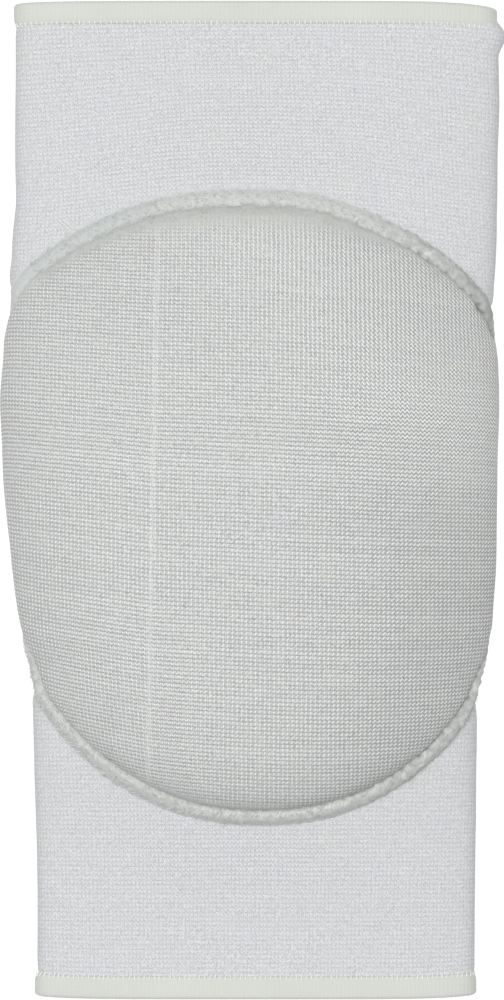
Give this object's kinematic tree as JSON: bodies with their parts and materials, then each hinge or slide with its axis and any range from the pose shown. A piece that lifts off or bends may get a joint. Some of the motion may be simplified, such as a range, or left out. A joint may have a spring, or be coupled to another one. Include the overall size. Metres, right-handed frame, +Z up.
{
  "type": "volleyball knee pad",
  "caption": "White pull-on knee pad: an open elastic knitted sleeve lying flat, with a domed foam pad in a ribbed knit cover, bound by a corded seam, and taped hems.",
  "frame": {"origin": "on the surface it lies on, under the middle of its outline", "axes": "+Y along the sleeve towards the thigh end, +X across to the right as seen from above, +Z up out of the pad"},
  "size_m": [0.1258, 0.25, 0.0448],
  "materials": {
    "sleeve_knit": "fine elastic rib knit, cool white, matte",
    "pad_cover": "coarser grey-white knit stretched over foam, matte",
    "seam_cord": "plump overlocked yarn cord, off-white, fuzzy",
    "hem_tape": "ribbed elastic tape, warm white, sewn with a row of stitches"
  },
  "bodies": {
    "root": {"sleeve": "sleeve_knit", "pad": "pad_cover", "pad_seam": "seam_cord", "thigh_hem": "hem_tape", "calf_hem": "hem_tape"}
  },
  "joints": []
}
